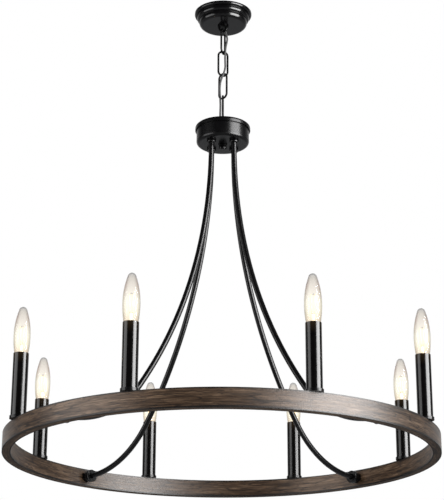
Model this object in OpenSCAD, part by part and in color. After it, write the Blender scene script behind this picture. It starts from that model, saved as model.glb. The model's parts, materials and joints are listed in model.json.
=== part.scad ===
// Wagon wheel chandelier: eight candle lights on a hoop that hangs from a ceiling canopy by
// four bent arms, a small hub and four chain links.
// The origin is the middle of the ceiling plane, +Z is up, and all of it hangs below z = 0.

/* [Wheel] */
// Outer diameter of the hoop
wheel_d = 800; // [760:10:860]
// Height of the hoop's band
band_h = 33; // [30:1:40]
// Thickness of the hoop's band, seen from above
band_w = 16; // [16:1:20]
// Sheet thickness of the hollow hoop
band_wall = 1.5; // [1.2:0.1:1.6]
// From the ceiling down to the hoop's lower edge
drop = 912; // [880:1:960]

/* [Arms] */
// Outer diameter of an arm's tube
arm_d = 10.5; // [9:0.5:11]
// Radius at which the arms leave the hub
arm_top_r = 31; // [29:0.5:32]
// Turn of an arm's lower bend, before the long upper one
arm_bend_angle = 52.5; // [50:0.5:55]
// Height of the arm ends above the hoop's lower edge
arm_end_h = 17.5; // [16:0.5:18]

/* [Candles] */
// Angle of the four side candles from the X axis
side_angle = 25.5; // [22.5:0.5:28]
// Angle of the front and back candles from the X axis
end_angle = 67.5; // [66:0.5:70]
// Outer diameter of a candle sleeve
sleeve_d = 27.5; // [27:0.1:28]
// Length of a candle sleeve
sleeve_l = 116; // [110:1:124]
// Diameter of the saucer under a sleeve
saucer_d = 31; // [31:0.5:32]
// Largest diameter of a lamp's glass
glass_d = 30.5; // [29:0.5:32]
// Height of the glass above the sleeve's mouth
glass_h = 86; // [80:1:90]

/* [Hub] */
// Outer diameter of the hub's cup
cup_d = 103.4; // [100:0.2:104]
// Height of the cup's wall
cup_h = 37; // [35:0.5:39]
// Diameter of the hub's lid
lid_d = 108.6; // [107:0.2:112]
// Height of the lid's rim
lid_h = 10; // [8:0.5:12]

/* [Chain] */
// Diameter of the chain's wire
wire_d = 4; // [3.6:0.1:4]
// Outer length of a link
link_l = 57.5; // [56:0.5:58]
// Outer width of a link
link_w = 23; // [23:0.5:25]
// Play between two links
link_play = 0.2; // [0.15:0.05:0.3]

/* [Canopy] */
// Diameter of the canopy's rim
canopy_d = 114.8; // [110:0.2:120]
// Depth of the canopy
canopy_h = 28; // [26:0.5:30]
// Sheet thickness of the canopy
canopy_wall = 1.2; // [0.8:0.1:1.5]
// Distance between the crossbar's two slots
slot_spacing = 70; // [66:1:74]

/* [Hidden] */
$fn = 96;
ARMS = 4;
CANDLES = 8;
LINKS = 4;
eps = 0.5;

satin_black = "#1c1c1e";
gloss_black = "#101012";
wood_brown = "#6b5a4c";
steel = "#b8babd";
brass = "#c9a45c";
porcelain = "#e8e4da";
clear = [0.95, 0.93, 0.88, 0.4];

// Threads, drawn as plain cylinders with a running gap, and holes with a little more
rod_r = 5;
thread_gap = 0.05;
hole_gap = 0.1;
rod_end_gap = 0.1;
rod_bore_r = 3.5;
nut_flats = 15;
nut_t = 4;

// Canopy: three steps, each [radius, depth, lower corner's radius]
canopy_steps = [
    [canopy_d / 2, 6, 3],
    [canopy_d / 2 - 5, 16, 5],
    [canopy_d / 2 - 9.4, canopy_h, 7]
];
cord_hole_r = 2.4;

// Crossbar, bent so that its middle hangs below the ceiling
bar_l = 100;
bar_w = 18;
bar_t = 2;
bar_drop = 8;
bar_flat = 20;
bar_middle = 13;
bar_bend = 1;
slot_r = 2.2;
slot_l = 12;
ground_x = -24;
ground_r = 1.9;
ground_head_r = 3.2;
ground_head_h = 2.4;
ground_slot = 1;
nipple_top = -2;

// Loops of the canopy and the hub: a disc with a threaded neck, and half a ring of wire
loop_collar_r = 11;
loop_floor_t = 1;
loop_r = 8;
neck_r = 7.4;
neck_hole_r = 7.6;
canopy_neck_l = 8;
canopy_collar_t = 3;
canopy_bar_z = -(canopy_h + 12);
hub_neck_l = 6;
hub_collar_t = 5;
hub_bar_h = 16;

// Chain: each link turned from the one above, as [canopy loop, links 1 to 4, hub loop]
link_turns = [-22, 68, 15, -38, -91, -1];
wire_r = wire_d / 2;
link_end_r = link_w / 2 - wire_r;
link_reach = link_l - wire_d;
link_bite = wire_d + link_play;
function link_top(i) = canopy_bar_z + link_bite - (i - 1) * (link_reach - link_bite);
hub_bar_z = link_top(LINKS) - link_reach + link_bite;

// Hub
hub_top = hub_bar_z - hub_bar_h;
lid_t = 2;
lid_round = 5;
lid_gap = 0.5;
cup_wall = 1.5;
cup_top = hub_top - lid_t;
cup_bottom = cup_top - cup_h;
cup_round = 6;
rod_bottom = cup_bottom - 8;
finial_r = 7.5;
finial_flange_r = 9;
finial_flange_t = 2;
finial_dome_h = 5;

// Arms
arm_r = arm_d / 2;
arm_wall = 1.2;
arm_hole_r = arm_r + 0.3;
arm_angles = [for (i = [0:ARMS - 1]) 45 + 90 * i];
wheel_r = wheel_d / 2;
inner_r = wheel_r - band_w;
wheel_bottom = -drop;
wheel_top = wheel_bottom + band_h;
arm_end_z = wheel_bottom + arm_end_h;
arm_end_r = inner_r + band_wall + nut_t + 0.5;
top_collar_r = 9;
top_collar_t = 5;
end_collar_r = 12.2;
end_collar_t = 8;
end_nut_flats = 19;
end_nut_t = 11;
end_nut_seat_r = sqrt(inner_r ^ 2 - (end_nut_flats / 2) ^ 2);
lock_nut_flats = 16;
collar_gap = 0.2;

// An arm leaves the hoop level, turns up through the lower bend, and the upper bend brings it
// upright below the hub. Both bends' radii follow from the run and the rise between its ends.
arm_level_l = 14;
arm_upright_l = 7;
arm_in_cup_l = 12.5;
bend_start_r = inner_r - arm_level_l;
arm_straight_z = cup_bottom - arm_upright_l;
arm_top_z = cup_bottom + arm_in_cup_l;
arm_run = bend_start_r - arm_top_r;
arm_rise = arm_straight_z - arm_end_z;
turn_sin = sin(arm_bend_angle);
turn_cos = cos(arm_bend_angle);
lower_bend_r = (arm_run * turn_cos - arm_rise * (1 - turn_sin)) / (turn_sin + turn_cos - 1);
upper_bend_r = (arm_rise * turn_sin - arm_run * (1 - turn_cos)) / (turn_sin + turn_cos - 1);

// Candles
candle_r = wheel_r - band_w / 2;
candle_angles = [
    side_angle, end_angle, 180 - end_angle, 180 - side_angle,
    180 + side_angle, 180 + end_angle, -end_angle, -side_angle
];
saucer_r = saucer_d / 2;
saucer_h = 5;
saucer_t = 1.5;
saucer_wall = 1.3;
sleeve_r = sleeve_d / 2;
sleeve_wall = 0.85;
sleeve_bottom = wheel_top + saucer_t;
mouth_z = sleeve_bottom + sleeve_l;
stud_r = 4;
stud_wall = 1.2;
stud_bottom = wheel_top - 8;
stud_top = wheel_top + 13;
stud_nut_flats = 11;
holder_stem_r = 6;
holder_r = 10.3;
holder_l = 43;
holder_stud_l = 13;

// Lamp: glass above a screw base, which fits the holder's bore and lands on its floor
base_top = mouth_z - 10;
base_r = 6.7;
base_l = 16;
base_rim_r = 8;
base_rim_t = 1;
contact_r = 3;
contact_l = 2;
holder_bore_r = base_r + hole_gap;
holder_rim_gap = 0.3;
holder_top = base_top - base_rim_t - holder_rim_gap;
holder_floor = base_top - base_l - contact_l;
glass_t = 0.7;
glass_r = glass_d / 2;
glass_mouth_r = sleeve_r - sleeve_wall - 0.5;
glass_neck_r = 8;
glass_neck_l = 5;
glass_widest = 32;
glass_tip_r = 7.5;
glass_low_step = 4;
glass_steps = 8;
stem_r = 2.6;
stem_l = 25;

// The supply cord's route, from the canopy down through the chain into the hub
cord_r = 2;
cord_sides = 8;
cord_route = [
    [3.5, 14, -12], [3.5, 14, -20], [3.8, 14, -28], [5.4, 13.2, -36], [7.4, 11.2, -44],
    [8.4, 8, -52], [7.8, 4.8, -60], [6.6, 1.6, -68], [5.4, -1.2, -76], [4.8, -3.4, -84],
    [4.4, -4.6, -93], [4.2, -4.6, -102], [4.4, -4, -111], [4.6, -4.4, -119], [3.8, -5.8, -127],
    [1.8, -7.4, -135], [-1, -7.8, -143], [-3.8, -6.4, -151], [-5.6, -4.2, -159],
    [-6.2, -2.4, -168], [-6, -1.8, -177], [-5.4, -1.6, -186], [-5, -0.8, -195],
    [-4.8, 0.6, -204], [-5, 3, -213], [-5.2, 6.4, -221], [-5, 9.8, -229],
    [-4.4, 12.4, -237], [-4, 13.6, -245], [-4, 13.8, -253], [-4, 13.8, -261]
];
cord_end = cord_route[len(cord_route) - 1];

// Moves in two steps, whole millimetres and then the rest, which loses no digits where two
// pieces of a tube meet face to face
module place(v) {
    whole = [for (n = v) floor(n)];
    translate(whole) translate(v - whole) children();
}

// Half the section of a round step: a rectangle with its lower outer corner rounded
module rounded_step(r, depth, corner) {
    translate([0, -depth + corner]) square([r, depth - corner]);
    translate([0, -depth]) square([r - corner, depth]);
    translate([r - corner, -depth + corner]) circle(r = corner);
}

module tube(outer, inner, bottom, top) {
    translate([0, 0, bottom]) difference() {
        cylinder(r = outer, h = top - bottom);
        translate([0, 0, -eps]) cylinder(r = inner, h = top - bottom + 2 * eps);
    }
}

module hex_nut(flats, bore, thickness) {
    difference() {
        cylinder(d = flats / cos(30), h = thickness, $fn = 6);
        translate([0, 0, -eps]) cylinder(r = bore, h = thickness + 2 * eps);
    }
}

// A slot along X, cut upwards from z = 0
module slot(length, r, height) {
    for (side = [-1, 1]) translate([side * (length / 2 - r), 0, 0]) cylinder(r = r, h = height);
    translate([-(length / 2 - r), -r, 0]) cube([length - 2 * r, 2 * r, height]);
}

// Half a ring of wire in the XZ plane, open towards -Z, with its top at z = r
module wire_arch(r) {
    rotate([90, 0, 0]) rotate_extrude(angle = 180) translate([r, 0]) circle(r = wire_r);
}

module on_arms() {
    for (angle = arm_angles) rotate([0, 0, angle]) children();
}

module at_candle(i) {
    rotate([0, 0, candle_angles[i - 1]]) translate([candle_r, 0, 0]) children();
}

module on_candles() {
    for (i = [1:CANDLES]) at_candle(i) children();
}

// ---- Ceiling ----

module crossbar() {
    color(steel) difference() {
        rotate([90, 0, 0]) translate([0, 0, -bar_w / 2]) linear_extrude(bar_w) polygon([
            [-bar_l / 2, 0], [-bar_flat, 0], [-bar_middle, -bar_drop], [bar_middle, -bar_drop],
            [bar_flat, 0], [bar_l / 2, 0], [bar_l / 2, -bar_t], [bar_flat + bar_bend, -bar_t],
            [bar_middle + bar_bend, -bar_drop - bar_t], [-bar_middle - bar_bend, -bar_drop - bar_t],
            [-bar_flat - bar_bend, -bar_t], [-bar_l / 2, -bar_t]
        ]);
        for (side = [-1, 1]) translate([side * slot_spacing / 2, 0, -bar_t - eps])
            slot(slot_l, slot_r, bar_t + 2 * eps);
        translate([0, 0, -bar_drop - bar_t - eps])
            cylinder(r = rod_r + thread_gap, h = bar_t + 2 * eps);
        translate([ground_x, 0, -bar_t - eps])
            cylinder(r = ground_r + thread_gap, h = bar_t + 2 * eps);
    }
}

module crossbar_nipple() {
    bottom = -(canopy_h + canopy_collar_t - loop_floor_t - rod_end_gap);
    color(steel) tube(rod_r, rod_bore_r, bottom, nipple_top);
}

module nipple_nuts() {
    color(steel) for (z = [-bar_drop, -bar_drop - bar_t - nut_t])
        translate([0, 0, z]) hex_nut(nut_flats, rod_r + thread_gap, nut_t);
}

module ground_screw() {
    color("green") translate([ground_x, 0, 0]) {
        translate([0, 0, -bar_t]) cylinder(r = ground_r, h = bar_t);
        difference() {
            translate([0, 0, -bar_t - ground_head_h]) cylinder(r = ground_head_r, h = ground_head_h);
            translate([-ground_head_r, -ground_slot / 2, -bar_t - ground_head_h - eps])
                cube([2 * ground_head_r, ground_slot, ground_slot + eps]);
        }
    }
}

// Half the canopy's section, all of it drawn in by an inset
module canopy_section(inset) {
    for (step = canopy_steps)
        rounded_step(step[0] - inset, step[1] - inset, step[2] - min(inset, step[2] / 2));
}

module canopy() {
    color(satin_black) difference() {
        rotate_extrude() canopy_section(0);
        rotate_extrude() canopy_section(canopy_wall);
        translate([0, 0, -canopy_h - eps]) {
            cylinder(r = neck_hole_r, h = canopy_wall + 2 * eps);
            translate([cord_route[1][0], cord_route[1][1], 0])
                cylinder(r = cord_hole_r, h = canopy_wall + 2 * eps);
        }
    }
}

// A disc that stands on z = 0 with its neck below, and a half ring of wire on two short legs
module collar_loop(collar_t, neck_l, bar_h) {
    difference() {
        union() {
            cylinder(r = loop_collar_r, h = collar_t);
            translate([0, 0, -neck_l]) cylinder(r = neck_r, h = neck_l + eps);
        }
        translate([0, 0, -neck_l - eps])
            cylinder(r = rod_r + thread_gap, h = neck_l + collar_t - loop_floor_t + eps);
    }
    translate([0, 0, bar_h - loop_r]) wire_arch(loop_r);
    for (side = [-1, 1]) translate([side * loop_r, 0, collar_t - eps])
        cylinder(r = wire_r, h = bar_h - loop_r - collar_t + eps);
}

module canopy_loop() {
    color(satin_black) translate([0, 0, -canopy_h]) rotate([0, 0, link_turns[0]]) mirror([0, 0, 1])
        collar_loop(canopy_collar_t, canopy_neck_l, -canopy_h - canopy_bar_z);
}

// ---- Chain ----

module chain_link(i) {
    top = link_top(i);
    side_l = link_reach - 2 * link_end_r;
    color(satin_black) rotate([0, 0, link_turns[i]]) translate([0, 0, top - link_end_r]) {
        wire_arch(link_end_r);
        translate([0, 0, -side_l]) mirror([0, 0, 1]) wire_arch(link_end_r);
        for (side = [-1, 1]) translate([side * link_end_r, 0, -side_l])
            cylinder(r = wire_r, h = side_l);
    }
}

// Direction of the cord at point i
function unit(v) = v / norm(v);
function cord_way(i) = unit(
    cord_route[min(i + 1, len(cord_route) - 1)] - cord_route[max(i - 1, 0)]
);

// Ring of points around the cord at point i
function cord_ring(i) =
    let (way = cord_way(i), side = unit(cross(way, [0, 1, 0])), up = cross(side, way))
    [for (k = [0:cord_sides - 1]) let (a = 360 * k / cord_sides)
        cord_route[i] + cord_r * (cos(a) * side + sin(a) * up)];

module supply_cord() {
    rings = len(cord_route);
    points = [for (i = [0:rings - 1]) each cord_ring(i)];
    walls = [for (i = [0:rings - 2], k = [0:cord_sides - 1])
        let (a = i * cord_sides + k, b = i * cord_sides + (k + 1) % cord_sides)
        each [[a, b, a + cord_sides], [b, b + cord_sides, a + cord_sides]]];
    first_end = [for (k = [1:cord_sides - 2]) [0, k + 1, k]];
    last = (rings - 1) * cord_sides;
    last_end = [for (k = [1:cord_sides - 2]) [last, last + k, last + k + 1]];
    color("black") polyhedron(points, concat(walls, first_end, last_end));
}

// ---- Hub ----

module hub_loop() {
    color(satin_black) translate([0, 0, hub_top]) rotate([0, 0, link_turns[LINKS + 1]])
        collar_loop(hub_collar_t, hub_neck_l, hub_bar_h);
}

module hub_lid() {
    color(satin_black) difference() {
        translate([0, 0, hub_top]) rotate_extrude() difference() {
            union() {
                translate([0, -lid_h]) square([lid_d / 2, lid_h - lid_round]);
                translate([0, -lid_h]) square([lid_d / 2 - lid_round, lid_h]);
                translate([lid_d / 2 - lid_round, -lid_round]) circle(r = lid_round);
            }
            translate([-eps, -lid_h - eps]) square([cup_d / 2 + lid_gap + eps, lid_h - lid_t + eps]);
        }
        translate([0, 0, hub_top - lid_t - eps]) {
            cylinder(r = neck_hole_r, h = lid_t + 2 * eps);
            translate([cord_end[0], cord_end[1], 0])
                cylinder(r = cord_hole_r, h = lid_t + 2 * eps);
        }
    }
}

module hub_cup() {
    color(satin_black) difference() {
        translate([0, 0, cup_top]) rotate_extrude() difference() {
            rounded_step(cup_d / 2, cup_h, cup_round);
            rounded_step(cup_d / 2 - cup_wall, cup_h - cup_wall, cup_round - cup_wall);
        }
        translate([0, 0, cup_bottom - eps])
            cylinder(r = rod_r + collar_gap, h = cup_wall + 2 * eps);
        on_arms() translate([arm_top_r, 0, cup_bottom - eps])
            cylinder(r = arm_hole_r, h = cup_wall + 2 * eps);
    }
}

module hub_rod() {
    top = hub_top + hub_collar_t - loop_floor_t - rod_end_gap;
    color(steel) tube(rod_r, rod_bore_r, rod_bottom, top);
}

module hub_finial() {
    bore_top = cup_bottom - rod_bottom + thread_gap;
    dome_z = bore_top - 2;
    color(satin_black) translate([0, 0, cup_bottom]) mirror([0, 0, 1]) difference() {
        union() {
            cylinder(r = finial_flange_r, h = finial_flange_t);
            cylinder(r = finial_r, h = dome_z);
            translate([0, 0, dome_z]) intersection() {
                sphere(r = finial_r);
                cylinder(r = finial_r + eps, h = finial_dome_h);
            }
        }
        translate([0, 0, -eps]) cylinder(r = rod_r + thread_gap, h = bore_top + eps);
    }
}

// ---- Arms ----

module arm_section() {
    difference() {
        circle(r = arm_r);
        circle(r = arm_r - arm_wall);
    }
}

// A bend in the XZ plane around [x, z], from one angle through a sweep
module bend(x, z, r, from, sweep) {
    place([x, 0, z]) rotate([90, 0, 0]) rotate_extrude(start = from, angle = sweep)
        place([r, 0, 0]) arm_section();
}

module arm(i) {
    color(satin_black) rotate([0, 0, arm_angles[i - 1]]) {
        place([bend_start_r, 0, arm_end_z]) rotate([0, 90, 0])
            linear_extrude(arm_end_r - bend_start_r) arm_section();
        bend(bend_start_r, arm_end_z + lower_bend_r, lower_bend_r, 270 - arm_bend_angle,
            arm_bend_angle);
        bend(arm_top_r + upper_bend_r, arm_straight_z, upper_bend_r, 180, 90 - arm_bend_angle);
        place([arm_top_r, 0, arm_straight_z])
            linear_extrude(arm_top_z - arm_straight_z) arm_section();
    }
}

module arm_top_collars() {
    color(satin_black) on_arms() translate([arm_top_r, 0, 0])
        tube(top_collar_r, arm_r + collar_gap, cup_bottom - top_collar_t, cup_bottom);
}

module arm_end_collars() {
    color(satin_black) on_arms() translate([end_nut_seat_r - end_nut_t, 0, arm_end_z])
        rotate([0, -90, 0]) tube(end_collar_r, arm_r + collar_gap, 0, end_collar_t);
}

// The flat nuts stand with their two side edges against the hoop's round inner face
module arm_end_nuts() {
    color(satin_black) on_arms() translate([end_nut_seat_r, 0, arm_end_z]) rotate([0, -90, 0])
        hex_nut(end_nut_flats, arm_r + hole_gap, end_nut_t);
}

module arm_lock_nuts() {
    color(steel) on_arms() {
        translate([arm_top_r, 0, cup_bottom + cup_wall])
            hex_nut(lock_nut_flats, arm_r + hole_gap, nut_t);
        translate([inner_r + band_wall, 0, arm_end_z]) rotate([0, 90, 0])
            hex_nut(lock_nut_flats, arm_r + hole_gap, nut_t);
    }
}

// ---- Wheel ----

module wheel_ring() {
    color(wood_brown) difference() {
        translate([0, 0, wheel_bottom]) rotate_extrude() difference() {
            translate([inner_r, 0]) square([band_w, band_h]);
            translate([inner_r + band_wall, band_wall])
                square([band_w - 2 * band_wall, band_h - 2 * band_wall]);
        }
        on_arms() translate([inner_r - eps, 0, arm_end_z]) rotate([0, 90, 0])
            cylinder(r = arm_r + hole_gap, h = band_wall + 2 * eps);
        on_candles() translate([0, 0, wheel_top - band_wall - eps])
            cylinder(r = stud_r + hole_gap, h = band_wall + 2 * eps);
    }
}

// ---- Candles ----

module candle_saucers() {
    color(satin_black) on_candles() translate([0, 0, wheel_top]) difference() {
        cylinder(r = saucer_r, h = saucer_h);
        translate([0, 0, saucer_t]) cylinder(r = saucer_r - saucer_wall, h = saucer_h);
        translate([0, 0, -eps]) cylinder(r = stud_r + hole_gap, h = saucer_t + 2 * eps);
    }
}

module candle_nipples() {
    color(steel) on_candles() tube(stud_r, stud_r - stud_wall, stud_bottom, stud_top);
}

module candle_nuts() {
    color(steel) on_candles() translate([0, 0, wheel_top - band_wall - nut_t])
        hex_nut(stud_nut_flats, stud_r + thread_gap, nut_t);
}

module candle_sleeve(i) {
    color(gloss_black) at_candle(i)
        tube(sleeve_r, sleeve_r - sleeve_wall, sleeve_bottom, mouth_z);
}

module lamp_holder(i) {
    color(porcelain) at_candle(i) difference() {
        union() {
            translate([0, 0, sleeve_bottom])
                cylinder(r = holder_stem_r, h = holder_top - holder_l - sleeve_bottom + eps);
            translate([0, 0, holder_top - holder_l]) cylinder(r = holder_r, h = holder_l);
        }
        translate([0, 0, sleeve_bottom - eps])
            cylinder(r = stud_r + thread_gap, h = holder_stud_l + eps);
        translate([0, 0, holder_floor])
            cylinder(r = holder_bore_r, h = holder_top - holder_floor + eps);
    }
}

// Outline of the lamp's glass, as heights above the mouth: a belly of two arcs that stand
// upright where the glass is widest, and a round tip that the upper one runs into
belly_drop = glass_r - glass_mouth_r;
lower_arc_r = (glass_widest ^ 2 + belly_drop ^ 2) / (2 * belly_drop);
tip_h = glass_h - glass_tip_r;
tip_rise = tip_h - glass_widest;
upper_arc_r = (glass_r ^ 2 + tip_rise ^ 2 - glass_tip_r ^ 2) / (2 * (glass_r - glass_tip_r));
tip_turn = atan2(tip_rise, upper_arc_r - glass_r);
function glass_low(z) = glass_r - lower_arc_r + sqrt(lower_arc_r ^ 2 - (glass_widest - z) ^ 2);
function glass_outline(inset) = concat(
    [[glass_neck_r - inset, base_top - mouth_z]],
    [for (z = [base_top - mouth_z + glass_neck_l:glass_low_step:glass_widest - 1])
        [glass_low(z) - inset, z]],
    [for (k = [0:glass_steps]) let (a = tip_turn * k / glass_steps, r = upper_arc_r - inset)
        [glass_r - upper_arc_r + r * cos(a), glass_widest + r * sin(a)]],
    [for (k = [1:glass_steps - 1])
        let (a = tip_turn + (90 - tip_turn) * k / glass_steps, r = glass_tip_r - inset)
        [r * cos(a), tip_h + r * sin(a)]],
    [[0, glass_h - inset]]
);

module glass_section(inset) {
    polygon(concat(glass_outline(inset), [[0, base_top - mouth_z]]));
}

module bulb_glass(i) {
    color(clear) at_candle(i) translate([0, 0, mouth_z]) difference() {
        rotate_extrude() glass_section(0);
        translate([0, 0, -eps / 10]) rotate_extrude() glass_section(glass_t);
    }
}

module bulb_base(i) {
    color(brass) at_candle(i) translate([0, 0, base_top]) {
        translate([0, 0, -base_rim_t]) cylinder(r = base_rim_r, h = base_rim_t);
        translate([0, 0, -base_l]) cylinder(r = base_r, h = base_l - base_rim_t);
        translate([0, 0, -base_l - contact_l]) cylinder(r = contact_r, h = contact_l);
        cylinder(r = stem_r, h = stem_l);
    }
}

crossbar();
crossbar_nipple();
nipple_nuts();
ground_screw();
canopy();
canopy_loop();
for (i = [1:LINKS]) chain_link(i);
supply_cord();
hub_loop();
hub_lid();
hub_cup();
hub_rod();
hub_finial();
for (i = [1:ARMS]) arm(i);
arm_top_collars();
arm_end_collars();
arm_end_nuts();
arm_lock_nuts();
wheel_ring();
candle_saucers();
candle_nipples();
candle_nuts();
for (i = [1:CANDLES]) candle_sleeve(i);
for (i = [1:CANDLES]) lamp_holder(i);
for (i = [1:CANDLES]) bulb_glass(i);
for (i = [1:CANDLES]) bulb_base(i);
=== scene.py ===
"""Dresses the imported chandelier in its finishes, and lights and frames it as in the photograph."""
import json
import math

import bpy
from mathutils import Matrix, Vector


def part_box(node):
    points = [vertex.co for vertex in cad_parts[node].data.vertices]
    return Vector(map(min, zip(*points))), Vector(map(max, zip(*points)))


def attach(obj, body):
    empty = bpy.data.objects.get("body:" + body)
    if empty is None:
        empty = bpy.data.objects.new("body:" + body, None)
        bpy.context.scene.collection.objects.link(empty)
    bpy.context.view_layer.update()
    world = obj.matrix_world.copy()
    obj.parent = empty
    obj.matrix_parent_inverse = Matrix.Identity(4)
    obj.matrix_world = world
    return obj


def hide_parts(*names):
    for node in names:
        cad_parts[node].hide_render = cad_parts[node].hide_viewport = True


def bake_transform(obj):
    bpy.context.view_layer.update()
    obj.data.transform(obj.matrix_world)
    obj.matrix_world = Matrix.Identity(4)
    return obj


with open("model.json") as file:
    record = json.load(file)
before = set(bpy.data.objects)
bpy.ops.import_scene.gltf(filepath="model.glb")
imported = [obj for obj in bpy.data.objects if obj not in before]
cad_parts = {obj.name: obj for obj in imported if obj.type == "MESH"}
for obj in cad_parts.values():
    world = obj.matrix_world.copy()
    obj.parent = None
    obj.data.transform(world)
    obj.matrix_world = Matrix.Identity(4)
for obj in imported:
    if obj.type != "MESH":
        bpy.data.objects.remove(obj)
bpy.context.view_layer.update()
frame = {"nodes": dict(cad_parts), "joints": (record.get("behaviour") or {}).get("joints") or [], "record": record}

MM = 0.001
CANDLES = 8
LINKS = 4
ring_low, ring_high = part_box("wheel_ring")
RING_BOTTOM, RING_TOP = ring_low.z, ring_high.z
RING_R = ring_high.x
BAND_W = 16 * MM

# The camera that the photograph's ellipses ask for, in metres, degrees and millimetres of lens
CAMERA_PLACE = Vector((-0.0007, -2.8, -1.492))
CAMERA_PITCH = 19.375
CAMERA_ROLL = 0.199
CAMERA_LENS = 111.34
CAMERA_SENSOR = 36
CAMERA_REACH = 50

# The floor's height and half its side in metres, and how much paler than lit the camera sees it
FLOOR_Z = -3.2
FLOOR_HALF = 14
FLOOR_LIFT = 0.3

# Levels of the plain light and of the room that gloss shows on the camera's side; 1 is white
LIGHT_LEVEL = 0.6
ROOM_LEVEL = 0.03
LIGHT_TINT = (0.95, 0.97, 1.0)
# How far behind the object a direction points, as its Y, where the backdrop starts and is white
BACKDROP_START, BACKDROP_WHITE = 0.3, 0.95
# The point that every soft box faces
LIT_POINT = Vector((0, 0, -0.55))

# The small bevels on the arms' nuts and collars
ROUNDED_NODES = ["arm_end_nuts", "arm_end_collars", "arm_top_collars"]
ROUNDED_WIDTH = 0.5 * MM
ROUNDED_ANGLE = math.radians(30)
WELD_GAP = 1e-5

# The range that noise textures mostly stay in
NOISE_LOW, NOISE_HIGH = 0.3, 0.7


# ---- Shader helpers ----

class Nodes:
    """A node tree, with short calls to add nodes and link them."""

    def __init__(self, tree):
        self.tree = tree
        self.tree.nodes.clear()

    def node(self, kind, inputs=None, **settings):
        made = self.tree.nodes.new(kind)
        for key, value in settings.items():
            setattr(made, key, value)
        for key, value in (inputs or {}).items():
            self.feed(made.inputs[key], value)
        return made

    def feed(self, socket, value):
        if isinstance(value, bpy.types.NodeSocket):
            self.tree.links.new(value, socket)
        else:
            socket.default_value = value

    def math(self, operation, a, b=0.0):
        return self.node("ShaderNodeMath", {0: a, 1: b}, operation=operation).outputs[0]

    def plus(self, a, b):
        return self.math("ADD", a, b)

    def minus(self, a, b):
        return self.math("SUBTRACT", a, b)

    def times(self, a, b):
        return self.math("MULTIPLY", a, b)

    def xyz(self, vector):
        parts = self.node("ShaderNodeSeparateXYZ", {0: vector}).outputs
        return parts[0], parts[1], parts[2]

    def steps(self, value, low, high, to_low=0.0, to_high=1.0):
        """Goes from to_low to to_high as the value goes from low to high."""
        return self.node(
            "ShaderNodeMapRange",
            {0: value, 1: low, 2: high, 3: to_low, 4: to_high},
        ).outputs[0]

    def seen_directly(self):
        """1 where the camera sees it, straight or through glass, and 0 for all other light."""
        rays = self.node("ShaderNodeLightPath").outputs
        return self.math("MAXIMUM", rays["Is Camera Ray"], rays["Is Transmission Ray"])


class Shader(Nodes):
    """A material with one Principled surface."""

    def __init__(self, name):
        self.material = bpy.data.materials.new(name)
        self.material.use_nodes = True
        super().__init__(self.material.node_tree)
        output = self.node("ShaderNodeOutputMaterial")
        self.surface = self.node("ShaderNodeBsdfPrincipled")
        self.feed(output.inputs["Surface"], self.surface.outputs[0])

    def set(self, **values):
        for key, value in values.items():
            self.feed(self.surface.inputs[key.replace("_", " ")], value)

    def glow(self, tint, strength):
        """Light that the surface gives off, too weak to be sampled as a lamp. Except on the filaments and the
        floor, it is painted light.
        """
        self.set(Emission_Color=tint, Emission_Strength=strength)
        self.material.cycles.emission_sampling = "NONE"

    def bump(self, height, distance, strength):
        bump = self.node(
            "ShaderNodeBump",
            {"Height": height, "Distance": distance, "Strength": strength},
        )
        self.feed(self.surface.inputs["Normal"], bump.outputs[0])

    def place(self):
        return self.node("ShaderNodeTexCoord").outputs["Object"]

    def join(self, x, y, z):
        return self.node("ShaderNodeCombineXYZ", {0: x, 1: y, 2: z}).outputs[0]

    def noise(self, vector, scale, detail):
        return self.node(
            "ShaderNodeTexNoise",
            {"Vector": vector, "Scale": scale, "Detail": detail, "Roughness": 0.5},
        ).outputs[0]

    def varied(self, tone, low, high):
        """A number that follows the noise from low to high."""
        return self.steps(tone, NOISE_LOW, NOISE_HIGH, low, high)

    def mottled(self, tone, low, high):
        """A colour that follows the noise from low to high."""
        return self.ramp(tone, [(NOISE_LOW, low), (NOISE_HIGH, high)])

    def ramp(self, value, stops):
        ramp = self.node("ShaderNodeValToRGB", {0: value})
        elements = ramp.color_ramp.elements
        while len(elements) < len(stops):
            elements.new(0.5)
        for element, (place, tint) in zip(elements, stops):
            element.position = place
            element.color = tint
        return ramp.outputs[0]

    def mix(self, share, a, b):
        made = self.node("ShaderNodeMix", {0: share}, data_type="RGBA")
        self.feed(made.inputs[6], a)
        self.feed(made.inputs[7], b)
        return made.outputs[2]


def colour(r, g, b):
    """A colour given as it looks on a screen, 0 to 255, as the shader wants it."""
    def linear(value):
        value /= 255
        return value / 12.92 if value <= 0.04045 else ((value + 0.055) / 1.055) ** 2.4
    return (linear(r), linear(g), linear(b), 1.0)


def grey(level):
    """A grey given as the share of light that it is, 0 to 1."""
    return (level, level, level, 1.0)


# ---- Finishes ----

def satin_black(name="satin_black_metal", gloss=0.11, roughness=0.255):
    """Powder coat: near black, a little uneven in tone and gloss."""
    s = Shader(name)
    place = s.place()
    s.set(
        Base_Color=s.mottled(s.noise(place, 60, 4), colour(9, 9, 10), colour(15, 14, 15)),
        Roughness=s.varied(s.noise(place, 30, 2), roughness - 0.01, roughness + 0.01),
        Specular_IOR_Level=gloss,
    )
    return s.material


def gloss_black(mouth_z):
    """The candle sleeves' smooth gloss paint, with a painted warm glow round the mouth, for the lamp's light on
    it.
    """
    s = Shader("gloss_black_sleeve")
    place = s.place()
    _, _, z = s.xyz(place)
    s.set(
        Base_Color=s.mottled(s.noise(place, 90, 3), colour(8, 7, 7), colour(13, 11, 11)),
        Roughness=s.varied(s.noise(place, 40, 1), 0.165, 0.175),
        Specular_IOR_Level=0.15,
    )
    glow_depth = 0.02
    # Painted light: a warm glow on the sleeve just below the mouth, for the lamp's light falling on it
    s.glow((1.0, 0.62, 0.25, 1.0), s.steps(z, mouth_z - glow_depth, mouth_z, 0.0, 0.018))
    return s.material


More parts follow.
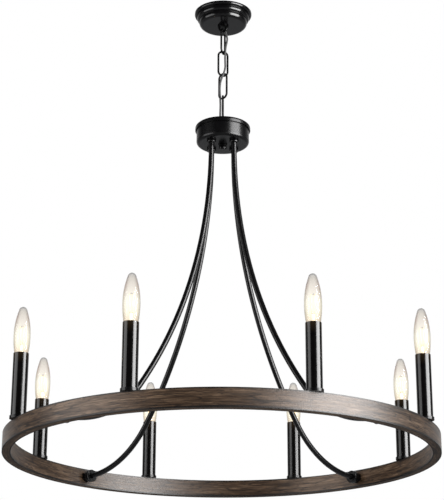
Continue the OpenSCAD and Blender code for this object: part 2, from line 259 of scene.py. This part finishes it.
def wood_effect():
    """Printed wood grain that runs round the hoop, with dark edges on every face."""
    s = Shader("wood_effect")
    x, y, z = s.xyz(s.place())
    r = s.math("SQRT", s.plus(s.times(x, x), s.times(y, y)))
    # Across the grain is up on the walls, and outwards too, so that the flat faces have it as well
    across = s.plus(z, s.times(r, 0.8))

    def grain(length, width, detail, shift=0.0):
        """Noise that is long round the hoop and narrow across it, in metres."""
        along = RING_R / length
        return s.noise(
            s.join(
                s.times(s.math("DIVIDE", x, r), along),
                s.times(s.math("DIVIDE", y, r), along),
                s.plus(s.math("DIVIDE", across, width), shift),
            ),
            1.0, detail,
        )

    def lines(source, half):
        """Thin lines where the noise passes its middle value."""
        off = s.math("ABSOLUTE", s.minus(source, 0.5))
        return s.steps(off, half * 0.3, half, 1.0, 0.0)

    # The face's tone, from broad changes to fine ones
    boards = grain(0.3, 0.05, 2, 3.5)
    figure = grain(0.15, 0.007, 3)
    streaks = grain(0.05, 0.0024, 3, 3.0)
    fibres = grain(0.02, 0.0009, 3, 11.0)
    tone = s.plus(
        s.plus(s.times(boards, 0.2), s.times(figure, 0.25)),
        s.plus(s.times(streaks, 0.3), s.times(fibres, 0.25)),
    )
    face = s.ramp(tone, [
        (0.40, colour(42, 28, 17)), (0.46, colour(67, 49, 34)),
        (0.52, colour(92, 71, 53)), (0.59, colour(128, 104, 82)),
    ])

    # Dark lines: growth rings, and shorter pores
    rings = lines(grain(0.12, 0.009, 1, 23.0), 0.022)
    pores = lines(grain(0.05, 0.0034, 1, 31.0), 0.035)
    dark = s.math("MAXIMUM", s.times(rings, 0.75), s.times(pores, 0.55))
    face = s.mix(dark, face, colour(20, 13, 9))

    # Painted shade: the underside is darker. It is also duller
    under = s.steps(z, RING_BOTTOM + 0.0001, RING_BOTTOM + 0.0003, 1.0, 0.0)
    face = s.mix(s.times(under, 0.55), face, colour(14, 10, 8))

    # A point near an edge is near both a flat face and a wall, by distances that wear makes uneven
    wear = s.times(s.minus(streaks, 0.5), 0.0024)
    low = s.minus(s.plus(s.minus(z, RING_BOTTOM), wear), 0.0008)
    high = s.plus(s.minus(RING_TOP, z), wear)
    outer = s.plus(s.minus(RING_R, r), wear)
    inner = s.plus(s.minus(r, RING_R - BAND_W), wear)
    from_edge = s.math("MAXIMUM", s.math("MINIMUM", low, high), s.math("MINIMUM", outer, inner))
    edge = s.steps(from_edge, 0.0012, 0.0028, 1.0, 0.0)
    s.set(
        Base_Color=s.mix(s.times(edge, 0.95), face, colour(12, 9, 8)),
        Roughness=s.math("MAXIMUM", s.varied(figure, 0.36, 0.42), s.times(under, 0.9)),
        Specular_IOR_Level=0.14,
    )
    s.bump(s.minus(fibres, s.times(dark, 0.8)), 0.0003, 0.3)
    return s.material


def plated_steel():
    """Bright plating, uneven in tone, over a fine rough surface."""
    s = Shader("plated_steel")
    place = s.place()
    tone = s.noise(place, 70, 4)
    bright = colour(196, 198, 200)
    dull = (*(0.7 * v for v in bright[:3]), 1.0)
    s.set(Base_Color=s.mottled(tone, dull, bright), Roughness=s.varied(tone, 0.25, 0.45),
          Metallic=1.0)
    s.bump(s.noise(place, 700, 2), 0.0001, 0.3)
    return s.material


def green_screw():
    """The earth screw's green lacquer."""
    s = Shader("green_screw")
    tone = s.noise(s.place(), 200, 3)
    s.set(Base_Color=s.mottled(tone, colour(16, 78, 34), colour(28, 112, 52)), Roughness=0.4)
    return s.material


def holder_white():
    """The lamp holders' off-white moulding."""
    s = Shader("holder_white")
    place = s.place()
    tone = s.noise(place, 50, 4)
    s.set(Base_Color=s.mottled(tone, colour(214, 208, 194), colour(232, 228, 218)),
          Roughness=0.45)
    s.bump(s.noise(place, 400, 2), 0.0001, 0.3)
    return s.material


def clear_glass(mouth_z, tip_z):
    """The lit lamp's glass: clear, with a painted warm glow low down and painted grey shade at its rim and tip."""
    s = Shader("clear_glass")
    _, _, z = s.xyz(s.place())
    up = s.steps(z, mouth_z, tip_z)
    facing = s.node("ShaderNodeLayerWeight", {"Blend": 0.5}).outputs["Facing"]
    rim = s.steps(facing, 0.15, 0.65)
    # Painted light and shade through the glass's middle: warm glow low down, grey towards the tip
    middle = s.ramp(up, [
        (0.0, colour(250, 240, 226)), (0.2, colour(253, 250, 240)),
        (0.45, colour(255, 253, 247)), (0.75, colour(247, 243, 238)),
        (0.92, colour(236, 233, 228)), (1.0, colour(222, 222, 222)),
    ])
    # Painted shade at the glass's rim, warmed by the painted glow low down
    side = s.ramp(up, [
        (0.0, colour(206, 198, 188)), (0.4, colour(224, 221, 210)),
        (0.75, colour(196, 184, 178)), (1.0, colour(186, 186, 186)),
    ])
    # Painted glow: how strongly the glass glows, by height, though the glass gives off no light
    height = s.ramp(up, [(0.0, grey(0.01)), (0.25, grey(0.05)), (0.45, grey(0.03)),
                         (0.7, grey(0.0))])
    # A low IOR keeps the lights' shapes off the glass
    s.set(Base_Color=s.mix(rim, middle, side), Transmission_Weight=1.0, Roughness=0.0, IOR=1.15)
    s.glow((1.0, 0.90, 0.70, 1.0), s.times(height, s.minus(1.0, rim)))
    return s.material


def lamp_base(seam_z):
    """Brass screw base up to the seam, and the glass mount of the filament above it, with a painted warm glow."""
    s = Shader("lamp_base")
    place = s.place()
    _, _, z = s.xyz(place)
    seam_half = 0.0001
    above = s.steps(z, seam_z - seam_half, seam_z + seam_half)
    below = s.minus(1.0, above)
    tone = s.noise(place, 120, 4)
    brass = s.mottled(tone, colour(168, 132, 72), colour(206, 172, 108))
    s.set(
        Base_Color=s.mix(above, brass, colour(226, 222, 212)),
        Metallic=below,
        Roughness=s.varied(tone, 0.2, 0.35),
    )
    # Painted light: the mount above the seam glows warm, for the lit filament's light on it
    s.glow(colour(255, 240, 216), s.times(above, 0.8))
    thread_pitch = 0.0028
    threads = s.math("SINE", s.times(z, 2 * math.pi / thread_pitch))
    s.bump(s.times(threads, below), 0.0008, 0.6)
    return s.material


def hot_filament():
    """The filaments' warm glow."""
    s = Shader("hot_filament")
    tone = s.noise(s.place(), 400, 2)
    s.set(Base_Color=s.mottled(tone, (0.9, 0.6, 0.3, 1.0), (1.0, 0.8, 0.5, 1.0)))
    s.glow((1.0, 0.72, 0.36, 1.0), 1.3)
    return s.material


def cord_cover():
    """Black woven cover: two sets of strands that cross, drawn on the tube's weave map."""
    s = Shader("cord_cover")
    u, v, _ = s.xyz(s.node("ShaderNodeUVMap", uv_map="weave").outputs[0])
    left = s.math("SINE", s.times(s.plus(u, v), 2 * math.pi))
    right = s.math("SINE", s.times(s.minus(u, v), 2 * math.pi))
    weave = s.times(left, right)
    # Painted shade: the colour is darker where the weave's bump is low, between the strands
    shade = s.steps(weave, -1.0, 1.0)
    s.set(
        Base_Color=s.ramp(shade, [(0.1, colour(4, 4, 4)), (0.9, colour(18, 17, 17))]),
        Roughness=0.7,
        Specular_IOR_Level=0.01,
    )
    s.bump(weave, 0.0004, 0.6)
    return s.material


# ---- Pieces that the solids leave to this script ----

# The supply cord's route, in millimetres, as in the part's source
CORD_ROUTE = [
    (3.5, 14, -12), (3.5, 14, -20), (3.8, 14, -28), (5.4, 13.2, -36), (7.4, 11.2, -44),
    (8.4, 8, -52), (7.8, 4.8, -60), (6.6, 1.6, -68), (5.4, -1.2, -76), (4.8, -3.4, -84),
    (4.4, -4.6, -93), (4.2, -4.6, -102), (4.4, -4, -111), (4.6, -4.4, -119), (3.8, -5.8, -127),
    (1.8, -7.4, -135), (-1, -7.8, -143), (-3.8, -6.4, -151), (-5.6, -4.2, -159),
    (-6.2, -2.4, -168), (-6, -1.8, -177), (-5.4, -1.6, -186), (-5, -0.8, -195),
    (-4.8, 0.6, -204), (-5, 3, -213), (-5.2, 6.4, -221), (-5, 9.8, -229),
    (-4.4, 12.4, -237), (-4, 13.6, -245), (-4, 13.8, -253), (-4, 13.8, -261),
]
CORD_R = 1.95 * MM
CORD_SIDES = 16
CORD_SMOOTHING = 5
# The length along the cord of one repeat of the weave, in metres
WEAVE_LENGTH = 3 * MM
WEAVE_STRANDS = 6

# The filaments: glowing sticks that lean outwards from the mount's top, on thin wires
STICKS = 4
STICK_R, STICK_SIDES = 0.8 * MM, 8
WIRE_R, WIRE_SIDES = 0.3 * MM, 6
FOOT_R, FOOT_Z = 1.2 * MM, -1 * MM
STICK_LOW_R, STICK_LOW_Z = 3.2 * MM, 3 * MM
STICK_HIGH_R, STICK_HIGH_Z = 4.6 * MM, 33 * MM
HOOK_RISE = 3 * MM


def smooth_route(points, times):
    """Points on one smooth curve through the route, several to each of its stretches."""
    route = [Vector(p) * MM for p in points]
    ends = [2 * route[0] - route[1]] + route + [2 * route[-1] - route[-2]]
    smooth = []
    for k in range(1, len(ends) - 2):
        before, a, b, after = ends[k - 1:k + 3]
        for step in range(times):
            t = step / times
            smooth.append(0.5 * (2 * a + (b - before) * t
                                 + (2 * before - 5 * a + 4 * b - after) * t * t
                                 + (3 * a - before - 3 * b + after) * t * t * t))
    return smooth + [route[-1]]


def tube_mesh(name, path, radius, sides, along=0.0):
    """A tube round a path, with a weave map: turns round the tube, and length along the path."""
    verts, faces, lengths = [], [], []
    run = along
    for i, point in enumerate(path):
        way = (path[min(i + 1, len(path) - 1)] - path[max(i - 1, 0)]).normalized()
        side = way.cross(Vector((0, 1, 0))).normalized()
        up = side.cross(way)
        if i:
            run += (point - path[i - 1]).length
        lengths.append(run)
        for k in range(sides):
            a = 2 * math.pi * k / sides
            verts.append(point + radius * (math.cos(a) * side + math.sin(a) * up))
    for i in range(len(path) - 1):
        for k in range(sides):
            a, b = i * sides + k, i * sides + (k + 1) % sides
            faces.append((a, b, b + sides, a + sides))
    faces.append(tuple(range(sides - 1, -1, -1)))
    last = (len(path) - 1) * sides
    faces.append(tuple(range(last, last + sides)))
    mesh = bpy.data.meshes.new(name)
    mesh.from_pydata(verts, [], faces)
    weave = mesh.uv_layers.new(name="weave")
    for polygon in mesh.polygons:
        turned = [mesh.loops[i].vertex_index % sides for i in polygon.loop_indices]
        wraps = 0 in turned and sides - 1 in turned
        for loop, k in zip(polygon.loop_indices, turned):
            vertex = mesh.loops[loop].vertex_index
            turn = sides if wraps and k == 0 else k
            weave.data[loop].uv = (turn / sides * WEAVE_STRANDS,
                                   lengths[vertex // sides] / WEAVE_LENGTH)
    mesh.shade_smooth()
    return mesh


def add_object(name, mesh, materials):
    made = bpy.data.objects.new(name, mesh)
    bpy.context.scene.collection.objects.link(made)
    for material in materials:
        mesh.materials.append(material)
    return made


def join_meshes(name, meshes, slots):
    """One mesh of several, each with the material of its slot. The several are deleted."""
    verts, faces, indexes = [], [], []
    for mesh, slot in zip(meshes, slots):
        base = len(verts)
        verts += [v.co.copy() for v in mesh.vertices]
        faces += [tuple(base + v for v in p.vertices) for p in mesh.polygons]
        indexes += [slot] * len(mesh.polygons)
        bpy.data.meshes.remove(mesh)
    made = bpy.data.meshes.new(name)
    made.from_pydata(verts, [], faces)
    for polygon, slot in zip(made.polygons, indexes):
        polygon.material_index = slot
    made.shade_smooth()
    return made


def make_cord(material):
    """One piece for each of the chain's joints, cut halfway along the links between them."""
    path = smooth_route(CORD_ROUTE, CORD_SMOOTHING)
    pivots = [j for j in frame["joints"] if j["type"] == "hinge"]
    heights = [j["pos_m"][2] for j in pivots]
    middles = [(a + b) / 2 for a, b in zip(heights, heights[1:])]
    cuts = [math.inf] + middles + [-math.inf]
    run = 0.0
    for joint, height, top, bottom in zip(pivots, heights, cuts, cuts[1:]):
        inside = [i for i, p in enumerate(path) if bottom <= p.z <= top]
        stretch = path[inside[0]:inside[-1] + 2]
        name = f"supply_cord_{joint['child']}"
        piece = add_object(name, tube_mesh(name, stretch, CORD_R, CORD_SIDES, run), [material])
        run += sum((b - a).length for a, b in zip(stretch, stretch[1:]))
        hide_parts("supply_cord")
        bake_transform(piece)


def make_filaments(wire, hot):
    """In each lamp, glowing sticks on wires from the mount, and wires that meet above them."""
    for i in range(1, CANDLES + 1):
        low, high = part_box(f"bulb_base_{i}")
        top = Vector(((low.x + high.x) / 2, (low.y + high.y) / 2, high.z))
        hook = top + Vector((0, 0, STICK_HIGH_Z + HOOK_RISE))
        meshes, slots = [], []
        for k in range(STICKS):
            a = math.radians(45 + 360 / STICKS * k)
            out = Vector((math.cos(a), math.sin(a), 0))
            foot = top + FOOT_R * out + Vector((0, 0, FOOT_Z))
            start = top + STICK_LOW_R * out + Vector((0, 0, STICK_LOW_Z))
            end = top + STICK_HIGH_R * out + Vector((0, 0, STICK_HIGH_Z))
            meshes += [tube_mesh("part", [foot, start], WIRE_R, WIRE_SIDES),
                       tube_mesh("part", [start, end], STICK_R, STICK_SIDES),
                       tube_mesh("part", [end, hook], WIRE_R, WIRE_SIDES)]
            slots += [0, 1, 0]
        mesh = join_meshes(f"lamp_filament_{i}", meshes, slots)
        piece = add_object(f"lamp_filament_{i}", mesh, [wire, hot])
        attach(piece, f"bulb_{i}")


# ---- Dress the solids ----

def dress(finishes):
    """Gives every CAD node its slot's finish."""
    for part in frame["record"]["subparts"]:
        obj = frame["nodes"][part["node"]]
        obj.data.materials.clear()
        obj.data.materials.append(finishes[part["material_slot"]])


def dress_blacks():
    """The links' and loops' thin wire has a duller black, and the canopy a brighter one."""
    frame["nodes"]["canopy"].data.materials[0] = satin_black("bright_black_metal", 0.16, 0.175)
    dull = satin_black("dull_black_metal", 0.05)
    for name in ["canopy_loop", "hub_loop"] + [f"chain_link_{i}" for i in range(1, LINKS + 1)]:
        frame["nodes"][name].data.materials[0] = dull


def round_edges():
    """A small bevel on edges that are sharp in the solids."""
    for name in ROUNDED_NODES:
        obj = frame["nodes"][name]
        weld = obj.modifiers.new("weld", "WELD")
        weld.merge_threshold = WELD_GAP
        bevel = obj.modifiers.new("bevel", "BEVEL")
        bevel.width = ROUNDED_WIDTH
        bevel.segments = 2
        bevel.limit_method = "ANGLE"
        bevel.angle_limit = ROUNDED_ANGLE
        bevel.harden_normals = True


# ---- Studio ----

def studio_world():
    """A white backdrop behind the object, and a dimmer room in front, which only gloss shows.

    The camera and glass see plain white all round. Everything else gets a plain light.
    """
    world = bpy.data.worlds.new("studio")
    bpy.context.scene.world = world
    # The world isn't sampled as a lamp, so that each kind of ray gets its exact level
    world.cycles.sampling_method = "NONE"
    world.use_nodes = True
    w = Nodes(world.node_tree)

    def background(strength, tint=(1, 1, 1)):
        inputs = {"Color": (*tint, 1), "Strength": strength}
        return w.node("ShaderNodeBackground", inputs).outputs[0]

    def mix(share, a, b):
        return w.node("ShaderNodeMixShader", {0: share, 1: a, 2: b}).outputs[0]

    _, behind, _ = w.xyz(w.node("ShaderNodeTexCoord").outputs["Generated"])
    backdrop = w.steps(behind, BACKDROP_START, BACKDROP_WHITE, ROOM_LEVEL, 1.0)
    glossy_ray = w.node("ShaderNodeLightPath").outputs["Is Glossy Ray"]
    lit = mix(glossy_ray, background(LIGHT_LEVEL, LIGHT_TINT), background(backdrop))
    output = w.node("ShaderNodeOutputWorld")
    w.feed(output.inputs["Surface"], mix(w.seen_directly(), lit, background(1.0)))


def softbox(name, azimuth, distance, height, size, power, gloss):
    """A box light that faces the object. Azimuth 0 is the camera's side, and 90 the right.

    One kind lights the surfaces, and the other, gloss, is what their gloss shows.
    """
    data = bpy.data.lights.new(name, "AREA")
    data.shape = "RECTANGLE"
    data.size, data.size_y = size
    data.energy = power
    lamp = bpy.data.objects.new(name, data)
    bpy.context.scene.collection.objects.link(lamp)
    a = math.radians(azimuth)
    lamp.location = (distance * math.sin(a), -distance * math.cos(a), height)
    lamp.rotation_mode = "QUATERNION"
    lamp.rotation_quaternion = (LIT_POINT - lamp.location).to_track_quat("-Z", "Y")
    lamp.visible_camera = False
    lamp.visible_transmission = False
    lamp.visible_diffuse = not gloss
    lamp.visible_glossy = gloss


def floor():
    """A plain pale floor, which the camera sees a little paler than its light makes it."""
    corners = [(-1, -1), (1, -1), (1, 1), (-1, 1)]
    mesh = bpy.data.meshes.new("floor")
    mesh.from_pydata([(x * FLOOR_HALF, y * FLOOR_HALF, FLOOR_Z) for x, y in corners],
                     [], [(0, 1, 2, 3)])
    s = Shader("floor")
    tone = s.noise(s.place(), 0.8, 2)
    s.set(Base_Color=s.mottled(tone, grey(0.86), grey(0.9)), Roughness=0.7)
    s.glow(grey(1.0), s.times(s.seen_directly(), FLOOR_LIFT))
    add_object("floor", mesh, [s.material])


def camera():
    """The camera at the photograph's viewing angle."""
    data = bpy.data.cameras.new("camera")
    data.lens = CAMERA_LENS
    data.sensor_width = CAMERA_SENSOR
    data.clip_end = CAMERA_REACH
    cam = bpy.data.objects.new("camera", data)
    bpy.context.scene.collection.objects.link(cam)
    pitch = Matrix.Rotation(math.radians(90 + CAMERA_PITCH), 4, "X")
    roll = Matrix.Rotation(math.radians(CAMERA_ROLL), 4, "Z")
    cam.matrix_world = Matrix.Translation(CAMERA_PLACE) @ pitch @ roll
    bpy.context.scene.camera = cam


def main():
    camera()
    mouth_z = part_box("candle_sleeve_1")[1].z
    glass_tip_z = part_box("bulb_glass_1")[1].z
    mount_h = 25 * MM
    seam_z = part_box("bulb_base_1")[1].z - mount_h
    finishes = {
        "plated_steel": plated_steel(),
        "satin_black_metal": satin_black(),
        "green_screw": green_screw(),
        "cord_cover": cord_cover(),
        "wood_effect": wood_effect(),
        "gloss_black_sleeve": gloss_black(mouth_z),
        "holder_white": holder_white(),
        "clear_glass": clear_glass(mouth_z, glass_tip_z),
        "lamp_base": lamp_base(seam_z),
    }
    dress(finishes)
    dress_blacks()
    # The name finds the frame's own plain material, so the cord's pieces don't wear the woven
    # cover above, which needs finishes["cord_cover"] here.
    make_cord(bpy.data.materials["cord_cover"])
    make_filaments(finishes["plated_steel"], hot_filament())
    round_edges()
    studio_world()
    floor()
    softbox("key", 50, 3.0, 0.9, (1.2, 1.6), power=55, gloss=False)
    softbox("fill", -70, 3.4, 0.4, (1.6, 2.0), power=42, gloss=False)
    softbox("gloss_right", 56, 2.4, -0.4, (1.9, 2.6), power=700, gloss=True)
    softbox("gloss_left", -66, 2.4, -0.6, (2.0, 2.0), power=96, gloss=True)
    bpy.context.scene.view_settings.view_transform = "Standard"


main()
